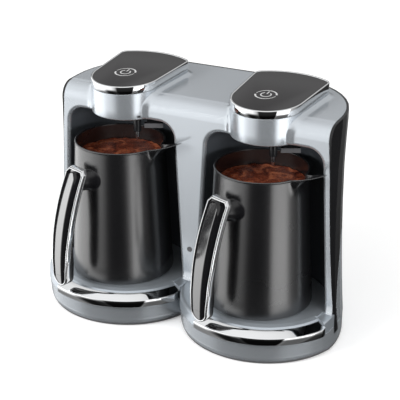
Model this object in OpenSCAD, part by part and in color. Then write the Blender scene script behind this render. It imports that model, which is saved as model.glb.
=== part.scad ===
// Two-station electric Turkish coffee maker with two lift-off pots.
// Millimetres, +Z up. The origin is the middle of the footprint, on the table.
// Stations are drawn about their own pot axis and set in place by at_station().

/* [Stations] */
// Distance between the two pot axes
pitch = 126.8; // [126:0.1:130]
// Place of both pot axes, front to back
axis_y = -11.22; // [-12:0.01:-8]

/* [Casing] */
// Half width of the casing at the roof
top_hw = 118.4; // [117:0.1:119]
// How much wider each side gets from the roof down to the table
side_flare = 12; // [10:0.5:13]
// Height of the roof above the front edge, before it rises to the back
roof_z = 180.5; // [178:0.5:184]
// Rise of the roof per millimetre towards the back
roof_slope = 0.05; // [0:0.01:0.08]
// Depth of the casing behind the pot axes
back_y = 88.5; // [86:0.5:92]
// Plan radius of the two rear corners at the roof
back_r = 66; // [60:1:70]
// Plan radius of the rear corners a little below the roof
back_r_mid = 72; // [68:1:76]
// Plan radius of the rear corners at the table
back_r_low = 87; // [78:1:88]
// Radius of the roll from the front face to the roof
roll_r = 12; // [8:0.5:14]
// Wall thickness of the casing parts
wall = 2.4; // [2:0.1:3]
// Width of the dark edge that shows round the silver roof
trim_w = 2.1; // [1:0.1:2.3]
// Height at which the dark housing ends and the lower housing starts
split_z = 87; // [80:1:95]

/* [Niche] */
// Radius of the niche at its floor
niche_r0 = 55.6; // [55:0.1:58]
// Radius of the niche at its ceiling
niche_r1 = 48.2; // [47:0.1:50]
// Height of the ceiling
niche_z = 161; // [159:0.5:163]
// Radius of the edge between wall and ceiling
niche_corner = 13; // [10:0.5:15]

/* [Platform] */
// Height of the deck that the pot stands over
deck_z = 29.3; // [29:0.1:29.6]
// How far the centre of the round platform lies behind the pot axis
plat_y = 11; // [10:0.5:12]
// Radius of the platform at the table
plat_r0 = 66.5; // [64:0.5:67]
// Radius of the platform where its lower edge has rounded out
plat_rm = 68; // [67:0.5:68.5]
// Radius at the lower edge of the bright ring
plat_r1 = 69; // [68:0.5:70]
// Radius at the upper edge of the bright ring
plat_r2 = 73; // [72:0.5:74]
// Inner radius of the bright ring
ring_ri = 61; // [60:0.5:62]
// Height of the lower edge of the bright ring
ring_z0 = 18; // [17:0.5:19]
// Height of the upper edge of the bright ring
ring_z1 = 26.2; // [25:0.1:26.5]

/* [Head] */
// Radius of the round front of a head
pod_r = 29.3; // [28:0.1:30]
// Distance of that round behind the pot axis
pod_y = 16.4; // [15:0.1:18]
// Half width between the centres of the rear corners
pod_bx = 25; // [24:0.5:27]
// Radius of the rear corners
pod_br = 7; // [5:0.5:8]
// Radius of the bowed rear edge
pod_bow = 62; // [60:1:66]
// Rear end of the head behind the pot axis
pod_end = 71; // [70:0.1:73]
// Height of the panel's surface over the pot axis
pod_z = 189.9; // [188:0.1:191]
// Forward tilt of the panel, in degrees
pod_tilt = 4.6; // [3:0.1:5]
// Height of the bright band
band_h = 6.2; // [5.4:0.1:6.6]
// Sideways offset of the left head from its pot axis
head_dx_left = -1.7; // [-4:0.1:2]
// Sideways offset of the right head from its pot axis
head_dx_right = -3.4; // [-4:0.1:2]

/* [Pot] */
// Outer radius at the bottom
pot_r0 = 42.1; // [41:0.1:43]
// Outer radius at the rim
pot_r1 = 36.5; // [36:0.1:37]
// Height of the pot's underside
pot_z0 = 29.8; // [29.7:0.1:30.2]
// Height of the rim
pot_z1 = 141.6; // [140:0.1:142]
// Wall thickness of the pot
pot_t = 1.2; // [1:0.1:1.5]
// Reach of the spout's tip from the pot axis
spout_r = 61; // [57:0.5:63]
// Height of the spout's tip
spout_z = 150; // [147:0.1:151]
// Height at which the spout starts to bulge out of the wall
spout_z0 = 125; // [120:1:130]
// Width of the spout at the rim, as an angle from its middle, in degrees
spout_w = 8.6; // [7:0.1:10]
// Turn of the left pot's spout, from straight sideways towards the user, in degrees
spout_turn_left = 7.5; // [5:0.5:20]
// Turn of the right pot's spout, from straight sideways towards the user, in degrees
spout_turn_right = 16; // [5:0.5:20]
// Direction of the handle, in degrees from +X
handle_turn = 251.5; // [248:0.5:260]

/* [Hidden] */
$fn = 72;
eps = 0.01;
big = 400;

silver = [0.74, 0.77, 0.80];
black = [0.07, 0.07, 0.08];
chrome = [0.86, 0.87, 0.89];
grey = [0.35, 0.36, 0.38];
steel = [0.62, 0.63, 0.65];
board_green = [0.10, 0.32, 0.20];

face_y = 0.5;                          // front face of the casing, from the pot axis
foot_h = 0.8;                          // height of the gap under the base
plat_edge = 7;                         // height at which the platform's lower edge has rounded out
loft_zs = [0, 15, 32, 50, 70, 90, 110, 140, 150, 160, 175, 205];
corner_n = 10;                         // steps in a rear corner
top_t = roof_z + roof_slope * back_y;  // height of the roof at its rear edge

function lerp(a, b, t) = a + (b - a) * t;
function smooth(t) = let (u = min(1, max(0, t))) u * u * (3 - 2 * u);
function arc(cx, cy, r, a0, a1, n) =
  [for (i = [0:n]) [cx + r * cos(lerp(a0, a1, i / n)), cy + r * sin(lerp(a0, a1, i / n))]];
// Half width of the casing at height z: it widens in a soft curve towards the table
function side_hw(z) = top_hw + side_flare * pow(max(0, 1 - z / roof_z), 2);
// Radius of the rear corners at height z
function rear_r(z) = z < 140 ? lerp(back_r_low, back_r_mid, z / 140)
  : lerp(back_r_mid, back_r, min(1, (z - 140) / 35));
// Plan outline of the casing at height z, taken in by inset on the sides and the back
function plan(z, inset) =
  let (hw = side_hw(z) - inset, r = rear_r(z) - inset, y1 = back_y - inset)
  concat([[-hw, face_y], [hw, face_y]],
    arc(hw - r, y1 - r, r, 0, 90, corner_n), arc(r - hw, y1 - r, r, 90, 180, corner_n));
// Radius of the niche, and of the pot, at height z
function niche_r(z) = lerp(niche_r0, niche_r1, (z - deck_z) / (niche_z - deck_z));
function head_dx(side) = side < 0 ? head_dx_left : head_dx_right;
function pot_r(z) = lerp(pot_r0, pot_r1, (z - pot_z0) / (pot_z1 - pot_z0));

module at_station(side) translate([side * pitch / 2, axis_y, 0]) children();
module at_axis() translate([0, axis_y, 0]) children();
module at_head(side) translate([side * pitch / 2 + head_dx(side), axis_y, 0]) children();

// Solid through a list of equal rings of points, from the lowest up
module skin(rings) {
  n = len(rings[0]);
  m = len(rings);
  polyhedron([for (r = rings) each r],
    concat([[for (i = [0:n - 1]) i]],
      [for (k = [0:m - 2]) for (i = [0:n - 1])
        [k * n + i, (k + 1) * n + i, (k + 1) * n + (i + 1) % n, k * n + (i + 1) % n]],
      [[for (i = [n - 1:-1:0]) (m - 1) * n + i]]), convexity = 6);
}
// The casing's flared block, open-ended at the top, taken in by inset
module block(inset) skin([for (z = loft_zs) [for (p = plan(z, inset)) [p[0], p[1], z]]]);
// The block that the front shell is cut from: it stands back from the sides more and more at the roof
function shell_inset(z) = lerp(0.4, trim_w, min(1, max(0, (z - 140) / 35)));
module shell_block(more)
  skin([for (z = loft_zs) [for (p = plan(z, shell_inset(z) + more)) [p[0], p[1], z]]]);
// A side-view outline, drawn as [y, z], as a bar across the whole width
module across(points) rotate([90, 0, 90]) translate([0, 0, -big / 2]) linear_extrude(big) polygon(points);
// Side view of the casing: face, roll and rising roof, taken in by d
function side_view(d, z0) = concat([[face_y + d, z0]],
  arc(face_y + roll_r, roof_z - roll_r, roll_r - d, 180, 93, 10),
  [[back_y + 20, roof_z + roof_slope * (back_y + 20) - d], [back_y + 20, z0]]);
// Side view of what the dark housing covers: a front strip that sweeps into the upper part
strip_w = 8;
strip_z = 12;
sweep_y = 27;
sweep_z = 32;
function dark_view() = concat([[face_y - 1, strip_z], [face_y + strip_w, strip_z]],
  [for (t = [0:0.125:1]) [lerp(face_y + strip_w, sweep_y, pow(t, 1.25)), lerp(sweep_z, split_z - 3, t)]],
  [[sweep_y + 4, split_z], [back_y + 20, split_z], [back_y + 20, 210], [face_y - 1, 210]]);
// Plan outline that the platforms and their rings run into at the sides, grown by g
side_x = 41.9;
side_y = 2.5;
side_r = 86.3;
module side_limit(g) linear_extrude(60) polygon(concat(
  arc(side_x, side_y, side_r + g, -60, 90, 60), arc(-side_x, side_y, side_r + g, 90, 240, 60)));

// ---- niche ----
function niche_view(grow) = concat([[0, ring_z0], [niche_r0 + grow, ring_z0], [niche_r0 + grow, deck_z]],
  arc(niche_r(niche_z - niche_corner) + grow - (niche_corner + grow), niche_z - niche_corner,
    niche_corner + grow, 0, 90, 10), [[0, niche_z + grow]]);
module niche_space(grow) rotate_extrude($fn = 96) polygon(niche_view(grow));

// ---- head outline: round front, straight flanks, rounded rear corners, bowed rear edge ----
pod_by = pod_end - pod_bow + sqrt(pow(pod_bow - pod_br, 2) - pow(pod_bx, 2));
pod_flank = atan2(pod_by - pod_y, pod_bx) - acos((pod_r - pod_br) / norm([pod_bx, pod_by - pod_y]));
pod_rear = atan2(pod_by - pod_end + pod_bow, pod_bx);
module pod(inset) polygon(concat(
  arc(0, pod_y, pod_r - inset, 180 - pod_flank, 360 + pod_flank, 48),
  arc(pod_bx, pod_by, pod_br - inset, pod_flank, pod_rear, 8),
  arc(0, pod_end - pod_bow, pod_bow - inset, pod_rear + 1, 179 - pod_rear, 12),
  arc(-pod_bx, pod_by, pod_br - inset, 180 - pod_rear, 180 - pod_flank, 8)));
// The layer of the head between two depths under the panel's surface
module pod_layer(inset, lo, hi) intersection() {
  translate([0, 0, 150]) linear_extrude(60) pod(inset);
  translate([0, 0, pod_z]) rotate([pod_tilt, 0, 0]) translate([-60, -60, lo]) cube([120, 200, hi - lo]);
}

// ---- casing ----
module casing_view(d, z0) across(side_view(d, z0));
module front_shell() color(silver) at_axis() difference() {
  intersection() {
    shell_block(0);
    casing_view(0, ring_z0 + 0.2);
  }
  casing_view(wall, -5);
  for (s = [-1, 1]) translate([s * pitch / 2, 0, 0]) {
    niche_space(0);
    translate([probe_x(s), probe_y, 158]) cylinder(r = 5.4, h = 17);
    // wire hole into the head, behind the head's front lobe
    translate([-9, -5, 168]) cube([18, 12, 8]);
    translate([-9, 30, 170]) cube([18, 20, 30]);
  }
  translate([0, -5, plug_z]) rotate([-90, 0, 0]) cylinder(r = plug_r + 0.05, h = 12);
}
plug_z = 55.9;
plug_r = 2.2;
module screw_plug() color(grey) at_axis() translate([0, face_y - 0.3, plug_z]) rotate([-90, 0, 0]) {
  cylinder(r = plug_r, h = wall + 0.3);
  translate([0, 0, wall + 0.3]) cylinder(r = plug_r + 1, h = 1);
}
// The side and back wall, from inset inwards by t, open at the front
module rim_wall(inset, t) difference() {
  block(inset);
  translate([0, -0.4, 0]) block(inset + t);
}
module rear_housing() color(black) at_axis() difference() {
  intersection() {
    rim_wall(0, wall);
    across(dark_view());
    casing_view(0, -5);
  }
  // seat of the front shell, face and roof
  intersection() {
    shell_block(-0.1);
    difference() {
      casing_view(-1, -5);
      casing_view(wall + 0.1, -6);
    }
  }
}
module lower_housing() color(silver) at_axis() difference() {
  intersection() {
    rim_wall(0, wall);
    translate([-big / 2, face_y, ring_z0 + 0.2]) cube([big, big, split_z - ring_z0 - 0.4]);
  }
  translate([0, 0, -0.2]) across(dark_view());
  translate([gland_x, back_y - 10, gland_z]) rotate([-90, 0, 0]) cylinder(r = 7.05, h = 20);
}
// Block of the two platforms and the casing's foot, between two heights, taken in by inset
module platform(inset, z0, z1) intersection() {
  union() {
    for (s = [-1, 1]) translate([s * pitch / 2, plat_y, 0]) rotate_extrude($fn = 144) polygon(concat(
      [[0, foot_h]],
      [for (i = [0:5]) [lerp(plat_r0, plat_rm, sin(18 * i)) - inset, lerp(foot_h, plat_edge, i / 5)]],
      [[plat_r1 - inset, ring_z0], [0, ring_z0]]));
    intersection() {
      block(inset);
      translate([-big / 2, face_y, foot_h]) cube([big, big, ring_z0 - foot_h]);
    }
  }
  translate([-big / 2, -big / 2, z0]) cube([big, big, z1 - z0]);
  side_limit(-inset);
}
module base_shell() color(silver) at_axis() difference() {
  platform(0, foot_h + 2, ring_z0);
  difference() {
    platform(wall, 0, ring_z0 - wall);
    // screw posts
    for (p = post_xy) translate([p[0], p[1], 0]) cylinder(r = 4.5, h = 30);
  }
  for (p = post_xy) translate([p[0], p[1], -1]) cylinder(r = 1.5, h = 14);
  // wire openings up into the decks and the rear space
  for (s = [-1, 1]) translate([s * pitch / 2, 0, 5]) cylinder(r = 30, h = 20);
  translate([-80, 62, 5]) cube([160, 18, 20]);
  // seats of the dark housing's front strips
  difference() {
    translate([-big / 2, face_y, strip_z - 0.05]) cube([big, strip_w + 0.05, 20]);
    block(wall + 0.05);
  }
}
post_xy = [for (x = [-108, 0, 108]) for (y = [6, 66]) [x * (y > 50 ? 0.7 : 1), y]];
module bottom_cover() color(grey) at_axis() difference() {
  platform(0.3, foot_h, foot_h + 1.95);
  for (p = post_xy) translate([p[0], p[1], 0]) cylinder(r = 1.7, h = 10);
  for (x = [-84:6:84]) if (abs(x) > 8) translate([x - 1, 26, 0]) cube([2, 28, 10]);
  for (p = foot_xy) translate([p[0], p[1], 0]) cylinder(r = 4.05, h = 10);
}
foot_xy = [for (s = [-1, 1]) each [[s * 64, -38], [s * 108, 20], [s * 20, 20], [s * 70, 74]]];
module rubber_feet() color(black) at_axis() for (p = foot_xy) translate([p[0], p[1], 0]) {
  cylinder(r1 = 6.7, r2 = 7, h = foot_h);
  cylinder(r = 4, h = foot_h + 2.6);
}
module housing_screws() color(steel) at_axis() for (p = post_xy) translate([p[0], p[1], 0.6]) {
  cylinder(r = 3, h = foot_h - 0.6);
  cylinder(r = 1.45, h = 11);
}

// ---- cord inlet and electrics ----
gland_x = 0;
gland_z = 34;
gland_bore = 3.6;
module cord_gland() color(black) at_axis() translate([gland_x, back_y, gland_z]) rotate([-90, 0, 0])
  difference() {
    union() {
      translate([0, 0, -8]) cylinder(r = 7, h = 8);
      cylinder(r = 9, h = 1.6);
      translate([0, 0, -9.6]) cylinder(r = 9, h = 1.6);
    }
    translate([0, 0, -11]) cylinder(r = gland_bore, h = 20);
  }
module terminal_block() color([0.85, 0.83, 0.76]) at_axis() difference() {
  translate([30, 66, 22]) cube([36, 14, 14]);
  for (i = [0:2]) translate([36 + 12 * i, 73, 28]) cylinder(r = 2.2, h = 20);
}
board_y = 70;
module power_board() color(board_green) at_axis() difference() {
  translate([-58, board_y, 50]) cube([116, 1.6, 70]);
  for (x = [-54, 54]) for (z = [54, 116]) translate([x, board_y - 1, z]) rotate([-90, 0, 0])
    cylinder(r = 1.6, h = 4);
}
module board_parts() color(grey) at_axis() {
  for (s = [-1, 1]) translate([s * 34 - 9, board_y + 1.6, 94]) cube([18, 10, 15]);  // relays
  translate([-14, board_y + 1.6, 62]) cube([28, 11, 22]);                           // transformer
  for (s = [-1, 1]) translate([s * 40, board_y + 1.6, 66]) rotate([-90, 0, 0]) cylinder(r = 6, h = 10);
}

// ---- station parts ----
// Section of the bright ring, from its inner edge outwards
ring_in_z = deck_z - 2.2;
function ring_section(ri) = concat(
  [[ri, ring_z0], [plat_r1, ring_z0], [plat_r2 - 0.3, ring_z0 + 2], [plat_r2, ring_z0 + 2.4]],
  arc(plat_r2 - 0.9, ring_z1 - 0.9, 0.9, 0, 90, 5), [[ri, ring_in_z]]);
// The ring's right end runs out in a point, cut from the deck's edge forwards and outwards
ring_end = [[57.5, -12.3], [66.8, -18.6]];
ring_start = -24;     // direction of its left end, in degrees from straight in front
module ring_keep(grow) {
  d = (ring_end[1] - ring_end[0]) / norm(ring_end[1] - ring_end[0]);
  a = ring_end[0] - 20 * d + grow * [-d[1], d[0]];
  b = ring_end[1] + 20 * d + grow * [-d[1], d[0]];
  c = [100 * sin(ring_start), plat_y - 100 * cos(ring_start)] - grow * [cos(ring_start), sin(ring_start)];
  linear_extrude(60) polygon([[-grow, plat_y], c, [c[0], -100], [b[0], -100], b, a]);
}
module ring_body(ri) translate([0, plat_y, 0]) rotate_extrude($fn = 144) polygon(ring_section(ri));
// Room on one side of the middle plane, so that the two stations' parts only just meet
module own_half(side) translate([-side * pitch / 2 + (side > 0 ? 0.1 : -200.1), -100, 0])
  cube([200, 200, 60]);
module deck(side) color(silver) at_station(side) intersection() {
  difference() {
    union() {
      intersection() {
        translate([0, plat_y, 0]) rotate_extrude($fn = 144) polygon([[0, ring_z0 + 0.1],
          [ring_ri - 0.1, ring_z0 + 0.1], [ring_ri - 0.1, ring_in_z], [ring_ri - 1.2, deck_z - 0.9],
          [ring_ri - 5, deck_z], [0, deck_z]]);
        translate([-100, -80, 0]) cube([200, 79.95 + face_y, 60]);
      }
      intersection() {
        translate([0, 0, ring_z0 + 0.1]) cylinder(r = niche_r0 - 0.3, h = deck_z - ring_z0 - 0.1, $fn = 120);
        translate([-100, -10, 0]) cube([200, 200, 60]);
      }
      // shoulders between the ring's ends and the casing
      difference() {
        translate([0, plat_y, 0]) rotate_extrude($fn = 144) polygon(concat(
          [[ring_ri - 5, ring_z0 + 0.1], [plat_r1 - 0.1, ring_z0 + 0.1], [plat_r1 - 0.4, deck_z - 4]],
          arc(plat_r1 - 3.4, deck_z - 4, 3, 0, 90, 5), [[ring_ri - 5, deck_z - 0.6]]));
        ring_keep(0.1);
        translate([-100, face_y - 0.05, 0]) cube([200, 200, 60]);
      }
    }
    translate([0, 0, deck_z - 1.2]) cylinder(r = pot_r0 - 0.6, h = 5);
    translate([0, 0, ring_z0 - 1]) cylinder(r = 30, h = 20);
  }
  own_half(side);
  translate([-side * pitch / 2, 0, 0]) side_limit(-0.2);
}
module base_ring(side) color(chrome) at_station(side) intersection() {
  ring_body(ring_ri);
  ring_keep(0);
  own_half(side);
  translate([-side * pitch / 2, 0, 0]) side_limit(2.2);
}
module niche_liner(side) color(black) at_station(side) difference() {
  intersection() {
    niche_space(1.2);
    translate([-80, face_y + wall + 0.1, deck_z + 0.1]) cube([160, 100, 150]);
  }
  niche_space(0);
  sensor_stem(side, 0.05);
}
sensor_turn = 28;     // turn of the sensor's window towards the user
sensor_y = 2.2;
sensor_w = 15;
sensor_z = 153.3;
sensor_h = 3.7;
stem_z = sensor_z + sensor_h - 0.4;
module at_sensor(side) translate([probe_x(side) + 5, sensor_y, 0]) rotate([0, 0, sensor_turn]) children();
module sensor_stem(side, grow) at_sensor(side) translate([2 - grow, 1.2 - grow, stem_z])
  cube([sensor_w - 4 + 2 * grow, 2.6 + 2 * grow, niche_z + 2.5 - stem_z]);
module sensor_window(side) color(grey) at_station(side) {
  sensor_stem(side, 0);
  at_sensor(side) translate([0, 0, sensor_z]) cube([sensor_w, 4, sensor_h]);
}
module heater_plate(side) color(steel) at_station(side) difference() {
  translate([0, 0, deck_z - 1.2]) cylinder(r = pot_r0 - 0.8, h = pot_z0 - 0.3 - deck_z + 1.2);
  translate([0, 0, deck_z - 2]) cylinder(r = 6, h = 3);
}
element_r = 22;
module heating_element(side) color(steel) at_station(side) translate([0, 0, deck_z - 5.3])
  rotate_extrude() translate([element_r, 0]) circle(3.9, $fn = 32);
module thermostat(side) color(steel) at_station(side) {
  translate([0, 0, 18.6]) cylinder(r = 8, h = 6.6);
  for (s = [-1, 1]) translate([s * 4 - 1.5, -0.4, 13.6]) cube([3, 0.8, 5]);
}
module head_cover(side) color(silver) at_head(side) difference() {
  union() {
    intersection() {
      difference() {
        pod_layer(0, -60, -band_h - 0.05);
        pod_layer(2.2, -60, 1);
      }
      translate([-60, -60, niche_z + 0.3]) cube([120, 200, 60]);
    }
    translate([0, 0, niche_z + 0.3]) linear_extrude(2) pod(0.5);  // underside of the front lobe
  }
  intersection() {
    casing_view(-0.05, -5);
    translate([-60, face_y - 1, 0]) cube([120, 200, 300]);
  }
  translate([probe_x(side) - head_dx(side), probe_y, 150]) cylinder(r = sleeve_r + 0.05, h = 20);
  translate([probe_x(side) - head_dx(side), probe_y, niche_z + 2.35]) cylinder(r = 5, h = 6);
}
module chrome_band(side) color(chrome) at_head(side) difference() {
  pod_layer(0, -band_h, 0);
  pod_layer(1.6, -band_h - 1, 1);
}
module touch_panel(side) color(black) at_head(side) pod_layer(1.65, -2.2, -0.3);
module touch_board(side) color(board_green) at_head(side) pod_layer(3.2, -6.2, -4.6);
key_x = -3.6;
key_y = 19.5;
module light_guide(side) color("white") at_head(side)
  translate([0, 0, pod_z]) rotate([pod_tilt, 0, 0]) translate([key_x, key_y, -4.5]) difference() {
    cylinder(r = 9.2, h = 2.2);
    translate([0, 0, -1]) cylinder(r = 7.6, h = 5);
  }
function probe_x(side) = side < 0 ? 16.8 : 9.2;
probe_y = -0.3;
tip_z = 143.6;
sleeve_z = 151;
sleeve_r = 3.1;
module at_probe(side) at_station(side) translate([probe_x(side), probe_y, 0]) children();
module probe_sleeve(side) color(black) at_probe(side) difference() {
  union() {
    translate([0, 0, sleeve_z]) cylinder(r = sleeve_r, h = niche_z + 8 - sleeve_z);
    translate([0, 0, niche_z + 2.4]) cylinder(r = 4.6, h = 1.5);
  }
  translate([0, 0, sleeve_z - 1]) cylinder(r = 1.75, h = 30);
}
module probe_tip(side) color(steel) at_probe(side) {
  translate([0, 0, tip_z]) cylinder(r1 = 1, r2 = 1.7, h = 2.5);
  translate([0, 0, tip_z + 2.5]) cylinder(r = 1.7, h = niche_z + 11 - tip_z - 2.5);
}

// ---- pot ----
foot_r = 1;       // rounded edge at the pot's bottom
pot_as = concat([for (a = [-36:3:33]) a], [for (a = [36:6:318]) a]);  // angles from the spout's middle
// How much of the spout's reach is present at angle a, from 1 in its middle to 0 on the round wall
function spout_share(a, w) = exp(-pow(abs(a) / w, 2.6));
function from_spout(a) = a > 180 ? a - 360 : a;
function rim_z(a) = pot_z1 + (spout_z - pot_z1) * pow(spout_share(a, spout_w), 1.3);
// One ring of the upper wall, t from 0 where the spout starts to 1 at the rim, taken in by inset
function pot_ring(t, inset) = [for (b = pot_as)
  let (a = from_spout(b), z = lerp(spout_z0, rim_z(a), t),
    r = pot_r(min(z, pot_z1)) - inset
      + (spout_r - pot_r1) * pow(t, 1.7) * spout_share(a, lerp(spout_w * 0.6, spout_w, t)))
  [r * cos(b), r * sin(b), z]];
function round_ring(r, z) = [for (b = pot_as) [r * cos(b), r * sin(b), z]];
spout_ts = [0, 0.2, 0.4, 0.6, 0.75, 0.88, 0.95];
module pot_body(side) color(black) at_station(side) rotate([0, 0, side < 0 ? -spout_turn_left : -spout_turn_right]) skin(concat(
  [round_ring(pot_r0 - foot_r, pot_z0), round_ring(pot_r0 - 0.3, pot_z0 + 0.3),
   round_ring(pot_r0, pot_z0 + foot_r), round_ring(pot_r(80), 80)],
  [for (t = spout_ts) pot_ring(t, 0)],
  [pot_ring(0.97, -0.4), pot_ring(1, -0.2), pot_ring(1, pot_t)],
  [for (t = reversed(spout_ts)) pot_ring(t, pot_t)],
  [round_ring(pot_r(80) - pot_t, 80), round_ring(pot_r0 - pot_t, pot_z0 + 4.4),
   round_ring(pot_r0 - pot_t - 2, pot_z0 + 2.2)]));

// ---- handle, drawn with +X pointing away from the pot ----
grip_arc = 193;       // radius of the handle's outer curve
grip_out = 68.7;      // furthest reach of that curve
grip_mid = 40;        // height at which it reaches that far
grip_top = 128;
grip_low = 32.5;
grip_d = 10.5;        // depth of the handle at its lower end
grip_d_top = 6.8;     // depth of the handle at its top
frame_d = 5;          // depth of the bright frame
inlay_d = 1.6;        // depth of the inlay
boss_z = 117.5;       // height of the boss on the pot's wall
boss_at = 10.5;       // direction of that point, in degrees from the handle's middle
boss_turn = -30;      // turn of the boss from there to the handle's middle
screw_tip = 13.5;     // depth of the screw's tip under the handle's outer face
screw_seat = 3.2;     // depth of the seat under the screw's head
screw_up = 23.8;      // place of the screw on the outer curve, in degrees above its middle
function grip_face(d) = arc(grip_out - grip_arc, grip_mid, grip_arc - d, -3, 31, 24);
function reversed(v) = [for (i = [len(v) - 1:-1:0]) v[i]];
// Curved layer of the handle between two depths under its outer face
module grip_layer(d0, d1) rotate([90, 0, 0]) translate([0, 0, -20]) linear_extrude(40)
  polygon(concat(grip_face(d0), reversed(grip_face(d1))));
// Region behind the handle's body, whose depth grows towards the lower end, moved back by g
function grip_depth(a) = lerp(grip_d, grip_d_top, smooth((a - 2.4) / 8));
module behind_grip(g) rotate([90, 0, 0]) translate([0, 0, -20]) linear_extrude(40)
  polygon(concat([for (i = [0:24]) let (a = lerp(-3, 31, i / 24), r = grip_arc - grip_depth(a) - g)
    [grip_out - grip_arc + r * cos(a), grip_mid + r * sin(a)]], [[0, 140], [0, 20]]));
// Front view of the handle, taken in by d: clipped corners on top, round lower end
module grip_view(d) rotate([90, 0, 90]) linear_extrude(100)
  polygon(concat(
    [[9.5 - d, grip_top - 3.2 - d / 2], [6.6 - d / 2, grip_top - d], [d / 2 - 6.6, grip_top - d],
     [d - 9.5, grip_top - 3.2 - d / 2], [d - 9.8, 100], [d - 9.7, 80], [d - 8.9, 58]],
    arc(0, grip_low + 7.8, 7.8 - d, 180, 360, 12), [[8.9 - d, 58], [9.7 - d, 80], [9.8 - d, 100]]));
module at_handle(side) at_station(side) rotate([0, 0, handle_turn]) children();
// Axis of the boss, from the pot's wall to the handle
module at_boss() rotate([0, 0, boss_at]) translate([pot_r(boss_z), 0, boss_z])
  rotate([0, 0, boss_turn - boss_at]) rotate([0, 90, 0]) children();
// Axis of the screw, from the handle's outer face inwards
module at_screw() translate([grip_out - grip_arc, 0, grip_mid]) rotate([0, -screw_up, 0])
  translate([grip_arc, 0, 0]) rotate([0, -90, 0]) children();
module screw_bore() at_screw() {
  translate([0, 0, -5]) cylinder(r = 3.6, h = screw_seat + 5);
  cylinder(r = 2.05, h = screw_tip + 0.5);
}
module handle_frame(side) color(chrome) at_handle(side) difference() {
  intersection() {
    grip_layer(0, frame_d);
    grip_view(0);
  }
  intersection() {
    grip_layer(-1, inlay_d + 0.1);
    grip_view(2);
  }
  screw_bore();
}
module handle_inlay(side) color(black) at_handle(side) intersection() {
  grip_layer(0.3, inlay_d);
  grip_view(2.1);
}
module handle_grip(side) color(black) at_handle(side) difference() {
  intersection() {
    grip_layer(frame_d + 0.05, grip_d + 2);
    grip_view(0.5);
  }
  behind_grip(0);
  screw_bore();
  pot_cone(1.2);
}
// The pot's outer cone, grown by g
module pot_cone(g) translate([0, 0, pot_z0])
  cylinder(r1 = pot_r0 + g, r2 = pot_r1 + g, h = pot_z1 - pot_z0, $fn = 96);
module handle_boss(side) color(black) at_handle(side) difference() {
  intersection() {
    at_boss() {
      translate([0, 0, -8]) cylinder(r = 8.2, h = 34);
      translate([0, 0, -8]) cylinder(r = 9, h = 9.4);
    }
    behind_grip(0.05);
  }
  pot_cone(0.05);
  screw_bore();
}
module handle_screw(side) color(steel) at_handle(side) at_screw() {
  translate([0, 0, screw_seat - 0.5]) cylinder(r = 1.98, h = screw_tip - screw_seat + 0.5);
  translate([0, 0, screw_seat - 1.42]) cylinder(r = 3.4, h = 1.4);
}

front_shell();
rear_housing();
lower_housing();
base_shell();
bottom_cover();
rubber_feet();
housing_screws();
screw_plug();
cord_gland();
terminal_block();
power_board();
board_parts();
deck(-1);  // deck_left
deck(1);  // deck_right
base_ring(-1);  // base_ring_left
base_ring(1);  // base_ring_right
niche_liner(-1);  // niche_liner_left
niche_liner(1);  // niche_liner_right
sensor_window(-1);  // sensor_window_left
sensor_window(1);  // sensor_window_right
heater_plate(-1);  // heater_plate_left
heater_plate(1);  // heater_plate_right
heating_element(-1);  // heating_element_left
heating_element(1);  // heating_element_right
thermostat(-1);  // thermostat_left
thermostat(1);  // thermostat_right
head_cover(-1);  // head_cover_left
head_cover(1);  // head_cover_right
chrome_band(-1);  // chrome_band_left
chrome_band(1);  // chrome_band_right
touch_panel(-1);  // touch_panel_left
touch_panel(1);  // touch_panel_right
touch_board(-1);  // touch_board_left
touch_board(1);  // touch_board_right
light_guide(-1);  // light_guide_left
light_guide(1);  // light_guide_right
probe_sleeve(-1);  // probe_sleeve_left
probe_sleeve(1);  // probe_sleeve_right
probe_tip(-1);  // probe_tip_left
probe_tip(1);  // probe_tip_right
pot_body(-1);  // pot_body_left
pot_body(1);  // pot_body_right
handle_boss(-1);  // handle_boss_left
handle_boss(1);  // handle_boss_right
handle_grip(-1);  // handle_grip_left
handle_grip(1);  // handle_grip_right
handle_frame(-1);  // handle_frame_left
handle_frame(1);  // handle_frame_right
handle_inlay(-1);  // handle_inlay_left
handle_inlay(1);  // handle_inlay_right
handle_screw(-1);  // handle_screw_left
handle_screw(1);  // handle_screw_right
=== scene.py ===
import math
import bpy
import bmesh
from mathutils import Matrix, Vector, noise


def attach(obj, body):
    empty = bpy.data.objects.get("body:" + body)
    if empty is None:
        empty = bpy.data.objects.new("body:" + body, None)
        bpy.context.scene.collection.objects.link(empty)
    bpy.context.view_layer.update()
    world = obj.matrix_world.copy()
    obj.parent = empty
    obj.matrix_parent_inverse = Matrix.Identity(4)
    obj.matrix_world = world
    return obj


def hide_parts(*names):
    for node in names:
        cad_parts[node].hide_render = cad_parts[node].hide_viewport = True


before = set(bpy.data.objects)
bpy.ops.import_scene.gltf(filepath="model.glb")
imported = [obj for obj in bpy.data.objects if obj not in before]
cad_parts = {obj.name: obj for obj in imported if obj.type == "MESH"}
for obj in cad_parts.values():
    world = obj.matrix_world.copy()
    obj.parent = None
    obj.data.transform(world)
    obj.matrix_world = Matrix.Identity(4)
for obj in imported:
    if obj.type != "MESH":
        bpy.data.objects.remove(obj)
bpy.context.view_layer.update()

scene = bpy.context.scene
mm = 0.001
# pot axes, as in the CAD
stations = {"left": -63.4, "right": 63.4}
axisY = -11.22


print("camera")
camera = {
    "place": (398.6, -742.3, 458.4), "yaw": 28.0, "pitch": 23.3, "lens": 101.94, "sensor": 36.0,
    "clip": (0.05, 20)}


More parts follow.
